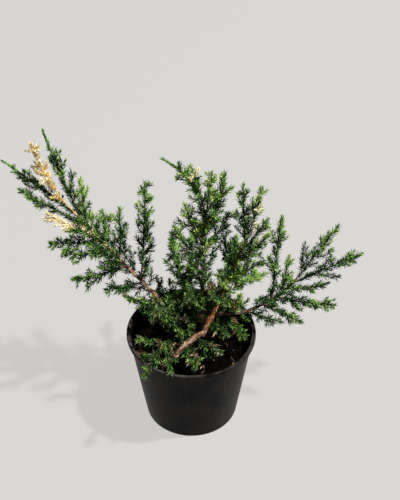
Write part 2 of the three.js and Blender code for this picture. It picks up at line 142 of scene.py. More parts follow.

# Sprays on each limb: share of its length, heading, rise and reach, then what sets them apart.
# A whip is a long shoot whose needles lie close near its tip. The tone is its colour (the deep tone
# is partly painted shade), cream and brown are the shares of its twigs in those colours, and bare
# is the share of its stem with none.
DEEP, DUSKY, FRESH = {"tone": "deep"}, {"tone": "dusky"}, {"tone": "fresh"}
SPRAYS = {"left": [
    (0.99, 126, 51, 109, {"arch": 0, "whip": True}),
    (1, 150, 56, 100, {"arch": -0.08, "tone": "gold", "bare": 0.4}),
    (0.99, 151, 24, 112, {"arch": 0.04, "whip": True}),
    (0.9, 162, 25, 93, {"arch": 0}),
    (0.85, 178, 30, 64, {"tone": "cream"}),
    (0.935, 99, 30, 62, FRESH),
    (0.81, 184, 1, 58, DEEP | {"brown": 0.12}),
    (0.78, 95, 21, 46),
    (0.73, 199, 11, 56, DEEP),
    (0.66, 90, 49, 58),
    (0.6, 206, 6, 64, DEEP),
    (0.475, 86, 52, 112, {"arch": 0, "bare": 0.16}),
    (0.46, 208, 11, 46, DEEP),
    (0.25, 206, 34, 61, DUSKY),
    (0.14, 222, 50, 52, DUSKY | {"brown": 0.06}),
], "centre": [
    (1, 167, 53, 79, {"arch": 0.12, "whip": True, "cream": 0.06}),
    (0.96, 124, 59, 58, FRESH | {"cream": 0.2}),
    (0.92, 80, 46, 54, FRESH),
    (0.84, 20, 72, 75),
    (0.74, 118, 24, 55, FRESH),
    (0.68, 54, 27, 54, DEEP),
    (0.62, 181, 56, 58),
    (0.27, 225, 42, 36, DUSKY | {"brown": 0.06}),
], "upright": [
    (1, 95, 53, 65),
    (0.96, 46, 70, 72, {"arch": -0.06, "cream": 0.1}),
    (0.92, 14, 54, 49),
    (0.84, 354, 47, 49),
    (0.74, 106, 10, 49, DEEP),
    (0.6, 26, -10, 50, FRESH),
    (0.38, 241, 50, 34, DUSKY | {"brown": 0.1, "cream": 0.05}),
    (0.14, 316, -14, 30, DUSKY | {"cream": 0.06, "brown": 0.1}),
], "right": [
    (1, 39, 37, 81, {"arch": 0}),
    (0.96, 14, 20, 88, {"arch": 0.02, "tone": "deep"}),
    (0.9, 345, 21, 50, DEEP),
    (0.82, 66, 61, 45, FRESH),
    (0.76, 341, 4, 68, {"brown": 0.04}),
    (0.7, 77, 64, 96, {"arch": 0}),
    (0.6, 321, 1, 52, {"brown": 0.04}),
    (0.4, 329, 1, 44, DUSKY | {"brown": 0.06}),
    (0.24, 291, 71, 42, FRESH | {"brown": 0.05}),
    (0.12, 309, -22, 39, {"brown": 0.08, "cream": 0.05}),
], "front": [
    (1, 254, 5, 60, DUSKY | {"brown": 0.1}),
    (0.82, 279, 6, 53, DUSKY | {"brown": 0.12}),
    (0.66, 190, 20, 38, DUSKY | {"brown": 0.1}),
], "back_left": [
    (1, 96, 0, 43),
    (0.5, 86, 6, 62, DEEP),
], "back_right": [
    (1, 80, 4, 45),
    (0.74, 38, -4, 60, DEEP),
], "trunk": [
    (0.6, 280, 13, 57, DUSKY | {"brown": 0.15}),
    (0.8, 308, 11, 47, DUSKY | {"cream": 0.06, "brown": 0.06}),
]}
STEM_ARCH = -0.05
STEM_BARE = 0.08
STEM_WOODY = 0.12

# Radii at root and tip, and sides, of the tubes under the needles
STEM_TUBE = (1.05, 0.55), 6
TWIG_TUBE = (0.6, 0.4), 4
BOUGH_TWIG_TUBE = (0.65, 0.4), 4
TWIGLET_TUBE = (0.45, 0.35), 3
TUBE_STEP = 5
TUBE_TIP = 1.5
TWIG_BARE = 0.05
BOUGH_TWIG_BARE = 0.06
TWIGLET_BARE = 0.02

# Space that a twig keeps clear, as in the source, with the needles at its side and its tip
SPACE_MARGIN = 1.8
LIMB_MARGIN = 1.2
TWIG_PROBE = 3
STEM_PROBES = 8
NEEDLE_OUT = 5.2
NEEDLE_AHEAD = 4.4


@dataclass
class Habit:
    """How side twigs stand on a stem: how many, how long, where they turn and what they keep clear.

    The source's own twigs are the only ones that may stand before the trunk's bark.
    """

    spacing: float
    length: float
    share: float
    shortest: float
    angle: float
    angle_range: float
    turn_range: float
    arch: float
    first: float
    last: float
    narrowing: float
    margin: float
    room: float
    own: bool = False
    turn: float = 137.5


# The source's side twigs, the finer ones between them, the twiglets on both, and the twigs that
# stand straight on a bough or hang round the left bough's foot
SIDE_TWIGS = Habit(15, 14, 0.2, 9, 38, 16, 40, 0.12, 0.24, 0.9, 0.78, SPACE_MARGIN,
                   LIMB_MARGIN + NEEDLE_OUT / 2, True)
FINE_TWIGS = Habit(6.5, 9, 0.1, 4.5, 42, 22, 60, 0.1, 0.1, 0.95, 0.72, 0.2, 1.4)
TWIGLETS = Habit(10, 6, 0.2, 5, 40, 18, 60, 0.08, 0.22, 0.84, 0.4, 0.2, 1.4)
BOUGH_TWIGS = Habit(3.5, 7, 0.09, 6, 50, 30, 60, 0.08, 0.03, 0.97, 0.1, 0.2, 1)
FOOT_TWIGS = Habit(2.1, 22, 0, 6, 62, 44, 100, -0.1, 0.01, 0.3, 0, 0.2, 1)

# Factors that give each kind of twig random numbers of its own, and the seeds of what isn't a twig
TONE_SEED, FINE_SEED, TWIGLET_SEED, TWIGLET_STEP = 7919, 104729, 15485863, 32452843
BOUGH_TONE_SEED, BOUGH_TWIG_SEED, FOOT_SEED, BOUGH_TWIGLET_SEED = 6151, 49157, 6700417, 786433
SWAY_SEED, NEEDLE_SEED, FLAKE_SEED, LITTER_SEED = 5, 7, 21, 33

# On a whip they stand closer to the stem and get shorter sooner, and the source's own end sooner
WHIP_TWIGS = {"angle": 27, "narrowing": 0.9}
WHIP_TWIGS_END = 0.72

# Tones of a spray's twigs, from those low on its stem to those near its tip, and how far they stray
# along it: darker low and inside the spray, partly as painted shade. Brown twigs stand low.
TWIG_TONES = {
    "deep": "deep deep green green",
    "dusky": "deep deep dusky green dusky straw",
    "green": "deep deep green green fresh",
    "fresh": "deep green fresh fresh lime",
    "cream": "gold cream gold cream",
    "gold": "gold cream gold gold cream",
}
TONE_SPREAD = 0.8
BROWN_BELOW = 0.65

# What needles near the tip of a shoot turn to, and those low on it, which darken partly as painted
# shade, and where, with its scatter
YOUNG_TONE = {"deep": "green", "dusky": "green", "green": "fresh", "fresh": "lime", "gold": "cream"}
OLD_AND_SHADED_TONE = {"dusky": "deep", "straw": "dusky", "green": "deep", "fresh": "green", "lime": "fresh"}
YOUNG_FROM = 1
OLD_AND_SHADED_BELOW = 0.38
TONE_MIX = 0.6
TONE_REACH = 12

# Needles stand in threes on a twig and in larger rings on a stem or bough, each ring turned half a
# step from the last. Those of the cream and gold shoots are wider and lie closer.
WHORL = 3
STEM_WHORL = 5
BOUGH_WHORL = 7
WHORL_PITCH = 2.1
NEEDLE_LENGTH = 6.0
NEEDLE_WIDTH = 1.45
NEEDLE_THICKNESS = 0.6
NEEDLE_RANGE = 0.6
NEEDLE_BELLY = 0.28
NEEDLE_BOW = 0.06
OPEN_ANGLE = 48
TIP_ANGLE = 19
ANGLE_RANGE = 11
TIP_NARROWING = 0.32
TIP_ZONE = 7
TURN_SCATTER = 0.035
WHIP_CLOSES_FROM, WHIP_CLOSES_OVER = 0.35, 0.5
WHIP_LENGTH = 3.8
WHIP_ANGLE = 23
PALE_ANGLE = 31
PALE_WIDTH = 1.2

# Flakes of bark: limb, how many, how far up it, and how far they curl off it
FLAKES = (("trunk", 260, 1, 1.9), ("upright", 120, 0.5, 1.9), ("upright", 70, 0.14, 4),
          ("left", 70, 0.5, 1.9), ("right", 40, 0.6, 1.9), ("centre", 30, 0.4, 1.9),
          ("front", 18, 1, 1.9))
TRUNK_FLAKE = (5, 15)
BOUGH_FLAKE = (3, 9)
FLAKE_WIDTH = (0.5, 1.5)
FLAKE_TAPER = np.array((0.8, 1, 0.9, 0.6, 0.25))
FLAKE_THICKNESS = 0.16
RUSTY_SHARE = 0.6

# Litter on the soil: how many lumps and bits, the share of each at one side, and where that is
LUMPS, LUMPS_ASIDE = 2200, 0.1
BITS, BITS_ASIDE = 290, 0.8
LITTER_SIDE = (148, 208)
LITTER_RING = (52, 68)
LITTER_REACH = 66
LUMP_SIZE = (0.5, 1.9)
BIT_LENGTH = (3, 13)
FIBRE_WIDTH = (0.3, 0.7)
CHIP_WIDTH = (1.2, 2.6)
FIBRES = 0.7
BIT_TAPER = np.array((0.5, 0.9, 1, 1, 0.8, 0.4))

# Small bends that everything at one place shares: size and wave length
SWAY = ((1.3, 95), (0.6, 38))
SWAY_FADE = 18

MAX_TRIANGLES = 190000


# Shapes along a curve


def column(t):
    """Shares along a curve, as rows to multiply directions by."""
    return np.asarray(t, float)[..., None]


def unit(vectors):
    """The vectors at length one."""
    return vectors / np.linalg.norm(vectors, axis=-1, keepdims=True)


def mix(a, b, share):
    """A value the given share of the way from a to b."""
    return a + (b - a) * share


def seeded_numbers(seed):
    """Numbers from 0 to 1 that come out the same for the same seed."""
    state = seed

    def draw():
        nonlocal state
        state = (state * 1664525 + 1013904223) % 4294967296
        return state / 4294967296

    return draw


def along_and_up(heading, rise):
    """Directions of a heading and rise: along it, and square to it upwards."""
    h, r = radians(heading), radians(rise)
    along = np.array((cos(h) * cos(r), sin(h) * cos(r), sin(r)))
    up = np.array((-cos(h) * sin(r), -sin(h) * sin(r), cos(r)))
    return along, up


class Arc:
    """A shallow parabola, bowed towards its up direction by a share of its reach."""

    def __init__(self, root, along, up, reach, arch):
        self.root, self.along, self.up = root, along, up
        self.reach, self.arch = reach, arch
        self.left = np.cross(up, along)

    def point(self, t):
        t = column(t)
        bow = self.arch * self.reach * 4 * t * (1 - t)
        return self.root + self.along * self.reach * t + self.up * bow

    def ahead(self, t):
        t = column(np.clip(t, 0, 1))
        return unit(self.along + self.up * self.arch * 4 * (1 - 2 * t))


class TrunkCurve:
    """The trunk's bend from its foot to its fork."""

    left = along_and_up(TRUNK_HEADING + 90, 0)[0]
    reach = 43

    def point(self, t):
        t = column(t)
        return TRUNK_FOOT * (1 - t) ** 2 + TRUNK_BEND * 2 * t * (1 - t) + TRUNK_FORK * t ** 2

    def ahead(self, t):
        t = column(np.clip(t, 0, 1))
        return unit((TRUNK_BEND - TRUNK_FOOT) * (1 - t) + (TRUNK_FORK - TRUNK_BEND) * t)


def frames(curve, t):
    """Points of a curve with the directions ahead, across and over."""
    ahead = curve.ahead(t)
    over = unit(np.cross(ahead, curve.left))
    return curve.point(t), ahead, np.cross(over, ahead), over


def outward_at(across, over, turn):
    """Directions square to a curve, turned round it."""
    return across * np.cos(turn)[:, None] + over * np.sin(turn)[:, None]


def sway(points):
    """Points moved by the small bends, which start a little above the soil."""
    rng = np.random.default_rng(SWAY_SEED)
    shift = np.zeros_like(points)
    for size, wave in SWAY:
        for _ in range(3):
            across, toward = unit(rng.normal(size=(2, 3)))
            phase = points @ across * 2 * pi / wave + rng.uniform(0, 2 * pi)
            shift += size * 0.6 * np.sin(phase)[:, None] * toward
    rise = np.clip((points[:, 2:] - SOIL_HEIGHT - 4) / SWAY_FADE, 0, 1)
    return points + shift * rise


# Limbs and sprays


@dataclass
class Limb:
    curve: object
    radius_at: object


@dataclass
class Spray:
    name: str
    seed: int
    stem: Arc
    whip: bool = False
    tone: str = "green"
    cream: float = 0
    brown: float = 0
    bare: float = STEM_BARE


@dataclass
class Shoot:
    """A leafy stem or twig."""

    curve: Arc
    radii: tuple
    sides: int
    tone: str
    bare: float = 0.04
    woody: float = 0
    whip: bool = False
    whorl: int = WHORL


def arc_from(parent, at, heading, rise, reach, arch):
    return Arc(parent.point(at), *along_and_up(heading, rise), reach, arch)


def make_limbs():
    """Trunk and boughs, each one tapering limb."""
    limbs = {"trunk": Limb(TrunkCurve(), lambda t: mix(TRUNK_RADIUS, FORK_RADIUS, t)
                           + FLARE * np.exp(-t / FLARE_SHARE))}
    for name, (parent, at, heading, rise, reach, arch, radius) in BOUGHS.items():
        curve = arc_from(limbs[parent].curve, at, heading, rise, reach, arch)
        limbs[name] = Limb(curve, lambda t, r=radius: r * (mix(1, BOUGH_TAPER, t)
                           + BOUGH_COLLAR * np.exp(-t / COLLAR_SHARE)))
    return limbs


def make_sprays(limbs):
    """Sprays in the order of their seeds."""
    sprays = []
    for bough, rows in SPRAYS.items():
        for place, (at, heading, rise, reach, *extra) in enumerate(rows, start=1):
            extra = dict(*extra)
            arch = extra.pop("arch", STEM_ARCH)
            stem = arc_from(limbs[bough].curve, at, heading, rise, reach, arch)
            sprays.append(Spray(f"{bough}_spray_{place}", len(sprays) + 1, stem, **extra))
    return sprays


def chain_ends(curves):
    """Start and end points of the straight steps along each curve."""
    points = np.array([curve.point(np.arange(STEM_PROBES + 1) / STEM_PROBES) for curve in curves])
    return points[:, :-1], points[:, 1:]


def chain_distances(points, ends):
    """How far each point lies from each chain."""
    starts, stops = ends
    span = stops - starts
    reach = points[:, None, None] - starts
    share = np.clip((reach * span).sum(-1) / (span * span).sum(-1), 0, 1)
    return np.linalg.norm(reach - share[..., None] * span, axis=-1).min(-1)


limbs = make_limbs()
sprays = make_sprays(limbs)
limb_chains = chain_ends([limb.curve for limb in limbs.values()])
limb_widths = np.array([float(limb.radius_at(0.2)) for limb in limbs.values()])
stem_chains = chain_ends([spray.stem for spray in sprays])


def is_clear(points, room):
    """Whether each point is clear of the limbs, the soil and the pot's rim."""
    across = np.hypot(points[:, 0], points[:, 1])
    over_rim = across > RIM_RADIUS - WALL - LIP_REACH - room
    floor = np.where(over_rim, POT_HEIGHT, SOIL_HEIGHT) + room
    free = (across >= RIM_RADIUS + room) | (points[:, 2] >= floor)
    return free & (chain_distances(points, limb_chains) >= limb_widths + room).all(-1)


def is_free(points, spray, habit):
    """Whether each point is clear, and its nearest stem is the spray's own."""
    free = is_clear(points, habit.room)
    if spray is None:
        return free
    distances = chain_distances(points, stem_chains)
    own = distances[:, spray.seed - 1].copy()
    distances[:, spray.seed - 1] = np.inf
    return free & (distances.min(-1) > own + habit.margin)


def free_length(twig, spray, habit):
    """How much of a twig, with the needles at its tip, stays in its spray's space."""
    steps = ceil(twig.reach / TWIG_PROBE)
    shares = np.arange(1, steps + 1) / steps
    free = is_free(twig.point(shares + NEEDLE_AHEAD / twig.reach), spray, habit)
    clear = steps if free.all() else int(np.argmin(free))
    return clear / steps * twig.reach


def hides_trunk(twig):
    """Whether a twig stands right before the trunk's bark, as the camera sees it."""
    start = limbs["trunk"].curve.point(np.linspace(0, 1, SIGHT_LINES))
    reach = twig.point([0.3, 0.7, 1.1])[:, None] - start
    sight = unit(TO_CAMERA)
    ahead = reach @ sight
    beside = np.linalg.norm(reach - ahead[..., None] * sight, axis=-1)
    return bool(((ahead > 0) & (ahead < SIGHT_REACH) & (beside < SIGHT_WIDTH)).any())


def side_twigs(stem, spray, seed, habit):
    """Side twigs of a stem: longest low on it, turned round it like leaves on a shoot."""
    random = seeded_numbers(seed)
    longest = habit.length + habit.share * stem.reach
    count = round(stem.reach / habit.spacing)
    twigs = []
    for i in range(count):
        place = mix(habit.first, habit.last, (i + random()) / count)
        turn = radians(i * habit.turn + (random() - 0.5) * habit.turn_range + seed * 47)
        angle = radians(habit.angle + (random() - 0.5) * habit.angle_range)
        length = longest * (1 - habit.narrowing * place) * (0.75 + 0.5 * random())
        centre, ahead, across, over = frames(stem, place)
        outward = across * cos(turn) + over * sin(turn)
        along = ahead * cos(angle) + outward * sin(angle)
        up = outward * cos(angle) - ahead * sin(angle)
        free = free_length(Arc(centre, along, up, length, habit.arch), spray, habit)
        twig = Arc(centre, along, up, free, habit.arch)
        if free >= habit.shortest and (habit.own or not hides_trunk(twig)):
            twigs.append(twig)
    return twigs


def twig_tone(spray, place, draw):
    """The colour of one side twig, dealt out by its spray and its place on the stem."""
    pick = draw()
    if pick < spray.cream:
        return "cream"
    if pick < spray.cream + spray.brown and place < BROWN_BELOW:
        return "brown"
    tones = TWIG_TONES[spray.tone].split()
    share = min(max(place + (draw() - 0.5) * TONE_SPREAD, 0), 0.999)
    return tones[int(share * len(tones))]


def with_twiglets(shoot, spray, seed):
    """A twig and the twiglets on it."""
    twiglets = side_twigs(shoot.curve, spray, seed, TWIGLETS)
    return [shoot] + [Shoot(twiglet, *TWIGLET_TUBE, shoot.tone, TWIGLET_BARE, whip=shoot.whip)
                      for twiglet in twiglets]


def bough_shoots(name, limb, seed):
    """Twigs that stand straight on a bough, with the name of the spray nearest to each."""
    draw = seeded_numbers(seed * BOUGH_TONE_SEED)
    low, high = BARE_BARK.get(name, (0, 0))
    radii = tuple(float(limb.radius_at(t)) for t in (0.2, 1))
    leafy = Shoot(limb.curve, radii, 0, "green", high + LEAFY_FROM, whorl=BOUGH_WHORL)
    found = [(f"{name}_spray_1", leafy)]
    twigs = side_twigs(limb.curve, None, seed * BOUGH_TWIG_SEED, BOUGH_TWIGS)
    if name == "left":
        twigs += side_twigs(limb.curve, None, seed * FOOT_SEED, FOOT_TWIGS)
    for order, twig in enumerate(twigs):
        place = np.linalg.norm(twig.root - limb.curve.point(0)) / limb.curve.reach
        if low <= place <= high and twig.along @ unit(TO_CAMERA) > FACES_CAMERA:
            continue
        nearest = sprays[int(chain_distances(twig.point([0.6]), stem_chains)[0].argmin())]
        tone = twig_tone(nearest, draw(), draw)
        if tone in ("cream", "gold"):
            tone = "green"
        shoot = Shoot(twig, *BOUGH_TWIG_TUBE, tone, BOUGH_TWIG_BARE)
        found += [(nearest.name, leafy) for leafy in
                  with_twiglets(shoot, None, seed * BOUGH_TWIGLET_SEED + order * TWIGLET_STEP)]
    return found


def shoots_of(spray):
    """The stem of a spray, its side twigs and their twiglets."""
    draw = seeded_numbers(spray.seed * TONE_SEED)
    shoots = [Shoot(spray.stem, *STEM_TUBE, spray.tone, spray.bare,
                    max(STEM_WOODY, spray.bare), spray.whip, STEM_WHORL)]
    side, fine = SIDE_TWIGS, FINE_TWIGS
    if spray.whip:
        side = replace(side, last=WHIP_TWIGS_END, **WHIP_TWIGS)
        fine = replace(fine, **WHIP_TWIGS)
    twigs = side_twigs(spray.stem, spray, spray.seed, side)
    twigs += side_twigs(spray.stem, spray, spray.seed * FINE_SEED, fine)
    for order, twig in enumerate(twigs):
        place = float(np.linalg.norm(twig.root - spray.stem.root)) / spray.stem.reach
        shoot = Shoot(twig, *TWIG_TUBE, twig_tone(spray, place, draw), TWIG_BARE, whip=spray.whip)
        shoots += with_twiglets(shoot, spray, spray.seed * TWIGLET_SEED + order * TWIGLET_STEP)
    return shoots


# Meshes


@dataclass
class Pile:
    """Triangles of many small things that become one piece."""

    points: list = field(default_factory=list)
    faces: list = field(default_factory=list)
    finish: list = field(default_factory=list)
    size: int = 0

    def add(self, points, faces, finish=0):
        self.points.append(points)
        self.faces.append(faces + self.size)
        self.finish.append(np.broadcast_to(finish, len(faces)))
        self.size += len(points)

    def joined(self):
        return np.concatenate(self.points), np.concatenate(self.faces), np.concatenate(self.finish)


def new_object(name, data):
    """An object in the scene."""
    item = bpy.data.objects.new(name, data)
    bpy.context.scene.collection.objects.link(item)
    return item


def mesh_piece(name, points, faces, finishes, finish=0, smooth=False, marks=None):
    """A mesh object in metres that rides on the body, from millimetre points and faces."""
    mesh = bpy.data.meshes.new(name)
    mesh.from_pydata(points * MM, [], faces)
    for material in finishes:
        mesh.materials.append(material)
    finish = np.broadcast_to(finish, len(faces)).astype(np.int32)
    mesh.polygons.foreach_set("material_index", finish)
    mesh.polygons.foreach_set("use_smooth", np.full(len(faces), smooth))
    for mark, values in (marks or {}).items():
        kind, key = ("FLOAT", "value") if values.ndim == 1 else ("FLOAT_VECTOR", "vector")
        layer = mesh.attributes.new(mark, kind, "POINT")
        layer.data.foreach_set(key, values.astype(np.float32).ravel())
    mesh.update(calc_edges=True)
    piece = new_object(name, mesh)
    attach(piece, "root")
    return piece


def triangles(*corners):
    return np.stack(np.broadcast_arrays(*corners), 1)


def closed(rings, start, end):
    """Points and triangles over rows of rings, closed at both ends by one more point each."""
    count, sides = rings.shape[:2]
    rim = np.arange(sides)
    after = (rim + 1) % sides
    row = np.arange(count - 1)[:, None] * sides
    a, b = (row + rim).ravel(), (row + after).ravel()
    last, extra = (count - 1) * sides, count * sides
    faces = np.concatenate([
        triangles(a, b, b + sides), triangles(a, b + sides, a + sides),
        triangles(after, rim, extra), triangles(last + rim, last + after, extra + 1),
    ])
    return np.concatenate([rings.reshape(-1, 3), [start], [end]]), faces


def tube(curve, shares, radii, sides, tip=0.5):
    """A closed tube along a curve, with one radius for each share."""
    centre, ahead, across, over = frames(curve, shares)
    turn = np.arange(sides) / sides * 2 * pi
    outward = outward_at(across[:, None], over[:, None], turn)
    rings = centre[:, None] + outward * radii[:, None, None]
    return closed(rings, centre[0], centre[-1] + ahead[-1] * radii[-1] * tip)


# One needle: root, belly of three points with the flat side up, and tip
NEEDLE_FACES = np.array([(0, 2, 1), (0, 3, 2), (0, 1, 3), (4, 1, 2), (4, 2, 3), (4, 3, 1)])
NEEDLE_FINISH = np.array([1, 0, 0, 1, 0, 0])


def needle_points(base, ahead, inward, lengths, widths):
    """The five points of each needle, bowed outward at its belly."""
    side = np.cross(ahead, inward)
    lengths, widths = lengths[:, None], widths[:, None]
    belly = base + ahead * lengths * NEEDLE_BELLY - inward * lengths * NEEDLE_BOW
    thick = NEEDLE_THICKNESS * widths / NEEDLE_WIDTH
    return np.stack([
        base - ahead * 0.3,
        belly + side * widths / 2 + inward * thick * 0.3,
        belly - side * widths / 2 + inward * thick * 0.3,
        belly - inward * thick * 0.7,
        base + ahead * lengths,
    ], axis=1)


def needle_faces(count):
    faces = (NEEDLE_FACES[None] + np.arange(count)[:, None, None] * 5).reshape(-1, 3)
    return faces, np.tile(NEEDLE_FINISH, count)


def shoot_needles(shoot, rng):
    """The needles of one shoot: their points and how far along the shoot each stands."""
    length = shoot.curve.reach
    whorls = max(2, round(length * (1 - shoot.bare) / WHORL_PITCH))
    ring = shoot.whorl
    place = np.repeat(mix(shoot.bare, 1, (np.arange(whorls) + 0.6) / whorls), ring)
    count = whorls * ring
    turn = (np.repeat(np.arange(whorls) % 2, ring) / 2 + np.tile(np.arange(ring), whorls)) / ring
    turn = (turn + rng.normal(0, TURN_SCATTER, count)) * 2 * pi
    centre, ahead, across, over = frames(shoot.curve, place)
    outward = outward_at(across, over, turn)
    close = np.clip((place - WHIP_CLOSES_FROM) / WHIP_CLOSES_OVER, 0, 1) * shoot.whip
    tip_zone = np.clip(1 - (1 - place) * length / TIP_ZONE, 0, 1) ** 1.5
    pale = shoot.tone in ("cream", "gold")
    angle = mix(mix(PALE_ANGLE if pale else OPEN_ANGLE, TIP_ANGLE, tip_zone), WHIP_ANGLE, close)
    angle = np.radians(angle + rng.normal(0, ANGLE_RANGE, count))[:, None]
    size = 1 + rng.uniform(-0.5, 0.5, count) * NEEDLE_RANGE
    full = mix(NEEDLE_LENGTH * (1 - TIP_NARROWING * tip_zone), WHIP_LENGTH, close)
    radius = mix(*shoot.radii, place)[:, None]
    direction = ahead * np.cos(angle) + outward * np.sin(angle)
    inward = ahead * np.sin(angle) - outward * np.cos(angle)
    widths = NEEDLE_WIDTH * (0.75 + 0.25 * size) * (PALE_WIDTH if pale else 1)
    points = needle_points(centre + outward * radius * 0.7, direction, inward, full * size, widths)
    return points, 1 - (1 - place) * length / max(length, TONE_REACH)


def grow_foliage():
    """All needles by tone, all twigs by finish, and which sprays each holds."""
    needles, twigs = {}, {"woody": Pile(), "green": Pile(), "gold": Pile()}
    holders = {}
    grown = [(spray.name, shoot) for spray in sprays for shoot in shoots_of(spray)]
    for seed, (name, limb) in enumerate(limbs.items(), start=1):
        if name != "trunk":
            grown += bough_shoots(name, limb, seed)
    rng = np.random.default_rng(NEEDLE_SEED)
    for holder, shoot in grown:
        if shoot.sides:
            add_twig(twigs, shoot)
        points, place = shoot_needles(shoot, rng)
        pick = place + rng.normal(0, TONE_MIX, len(place))
        young, old_and_shaded = pick > YOUNG_FROM, pick < OLD_AND_SHADED_BELOW
        own = shoot.tone
        for tone, chosen in ((YOUNG_TONE.get(own, own), young), (OLD_AND_SHADED_TONE.get(own, own), old_and_shaded),
                             (own, ~old_and_shaded & ~young)):
            if chosen.any():
                needles.setdefault(tone, []).append(points[chosen])
                holders.setdefault(tone, set()).add(holder)
    return needles, twigs, holders


def add_twig(twigs, shoot):
    """The bare tube under a shoot's needles: brown wood low on a stem, green above."""
    steps = max(2, round(shoot.curve.reach / TUBE_STEP))
    shares = np.linspace(0, 1, steps + 1)
    finish = {"gold": "gold", "cream": "gold", "brown": "woody"}.get(shoot.tone, "green")
    woody = 0 if finish == "gold" else shoot.woody
    for kind, low, high in (("woody", 0, woody), (finish, woody, 1)):
        if high > low:
            part = mix(low, high, shares)
            radii = mix(*shoot.radii, part)
            twigs[kind].add(*tube(shoot.curve, part, radii, shoot.sides, TUBE_TIP))


# Finishes


def put(tree, socket, value):
    """Sets a socket to a value, or links it from another socket."""
    if isinstance(value, bpy.types.NodeSocket):
        tree.links.new(value, socket)
    else:
        socket.default_value = (*value[:3], 1) if socket.type == "RGBA" else value


def add_node(tree, kind, inputs=None, **settings):
    """The outputs of a new node with its settings and inputs."""
    node = tree.nodes.new("ShaderNode" + kind)
    for key, value in settings.items():
        setattr(node, key, value)
    for socket, value in (inputs or {}).items():
        put(tree, node.inputs[socket], value)
    return node.outputs


def math_node(tree, operation, first, second):
    return add_node(tree, "Math", {0: first, 1: second}, operation=operation, use_clamp=True)[0]


def times(tree, first, second):
    return math_node(tree, "MULTIPLY", first, second)


def plus(tree, first, second):
    return math_node(tree, "ADD", first, second)


def blend_colours(tree, share, first, second):
    """A colour the given share of the way from the first to the second."""
    return add_node(tree, "Mix", {0: share, 6: first, 7: second}, data_type="RGBA")[2]


def span(tree, value, low, high):
    """A value stretched so that low becomes 0 and high becomes 1."""
    return add_node(tree, "MapRange", {"Value": value, "From Min": low, "From Max": high})[0]


def cloud(tree, scale, detail=3.0, place=None):
    """Noise in the object's own space."""
    place = place or add_node(tree, "TexCoord")["Object"]
    return add_node(tree, "TexNoise", {"Vector": place, "Scale": scale, "Detail": detail})["Fac"]


def new_group(name, inputs, output):
    """An empty node group with named inputs and one output, and its sockets inside."""
    tree = bpy.data.node_groups.new(name, "ShaderNodeTree")
    for label, value in inputs.items():
        kind = "NodeSocketFloat" if isinstance(value, float) else "NodeSocketColor"
        tree.interface.new_socket(label, in_out="INPUT", socket_type=kind).default_value = value
    kind = "NodeSocketColor" if output == "Color" else "NodeSocketFloat"
    tree.interface.new_socket(output, in_out="OUTPUT", socket_type=kind)
    return tree, tree.nodes.new("NodeGroupInput").outputs, tree.nodes.new("NodeGroupOutput").inputs


def mottle_group():
    """Two colours in soft-edged patches of a given size."""
    tree, given, out = new_group(
        "mottle", {"Dark": (0,) * 4, "Light": (1,) * 4, "Scale": 100.0, "Edge": 0.2}, "Color")
    low = math_node(tree, "SUBTRACT", 0.5, given["Edge"])
    mask = span(tree, cloud(tree, given["Scale"]), low, plus(tree, 0.5, given["Edge"]))
    put(tree, out["Color"], blend_colours(tree, mask, given["Dark"], given["Light"]))
    return tree


def grit_group():
    """Fine grain over a coarser one, as a height."""
    tree, given, out = new_group("grit", {"Scale": 900.0, "Coarse": 0.5}, "Height")
    wide = add_node(tree, "Math", {0: given["Scale"], 1: 0.15}, operation="MULTIPLY")[0]
    coarse = times(tree, cloud(tree, wide), given["Coarse"])
    fine = times(tree, cloud(tree, given["Scale"], 5.0), 0.5)
    put(tree, out["Height"], plus(tree, fine, coarse))
    return tree


def dust_group():
    """A mask of dust: thickest on faces that look up, and broken by noise."""
    tree, given, out = new_group("dust", {"Amount": 0.3, "Scale": 120.0}, "Mask")
    normal = add_node(tree, "NewGeometry")["Normal"]
    facing = span(tree, add_node(tree, "SeparateXYZ", {0: normal})["Z"], -0.4, 0.9)
    broken = span(tree, cloud(tree, given["Scale"], 6.0), 0.35, 0.7)
    put(tree, out["Mask"], times(tree, times(tree, facing, broken), given["Amount"]))
    return tree


MOTTLE, GRIT, DUST = mottle_group(), grit_group(), dust_group()


def placed(tree, group, **values):
    """The outputs of a node group placed in a material with its own values."""
    return add_node(tree, "Group", values, node_tree=group)


def new_finish(name, roughness, specular):
    """A material, its nodes and its shader."""
    material = bpy.data.materials.new(name)
    material.use_nodes = True
    shader = material.node_tree.nodes["Principled BSDF"].inputs
    shader["Roughness"].default_value = roughness
    shader["Specular IOR Level"].default_value = specular
    return material, material.node_tree, shader


def add_relief(tree, shader, height, strength, depth):
    """A bump that feeds the shader's normal."""
    bump = add_node(tree, "Bump", {"Strength": strength, "Distance": depth, "Height": height})
    put(tree, shader["Normal"], bump["Normal"])


def add_grit(tree, shader, scale, coarse, strength, depth):
    """A gritty surface."""
    height = placed(tree, GRIT, Scale=scale, Coarse=coarse)["Height"]
    add_relief(tree, shader, height, strength, depth)


def mottled(name, roughness, specular, dark, light, scale, edge, *grit):
    """A material in soft patches of two colours, gritty if the values of its grit are given."""
    material, tree, shader = new_finish(name, roughness, specular)
    colour = placed(tree, MOTTLE, Dark=dark, Light=light, Scale=scale, Edge=edge)["Color"]
    put(tree, shader["Base Color"], colour)
    if grit:
        add_grit(tree, shader, *grit)
    return material


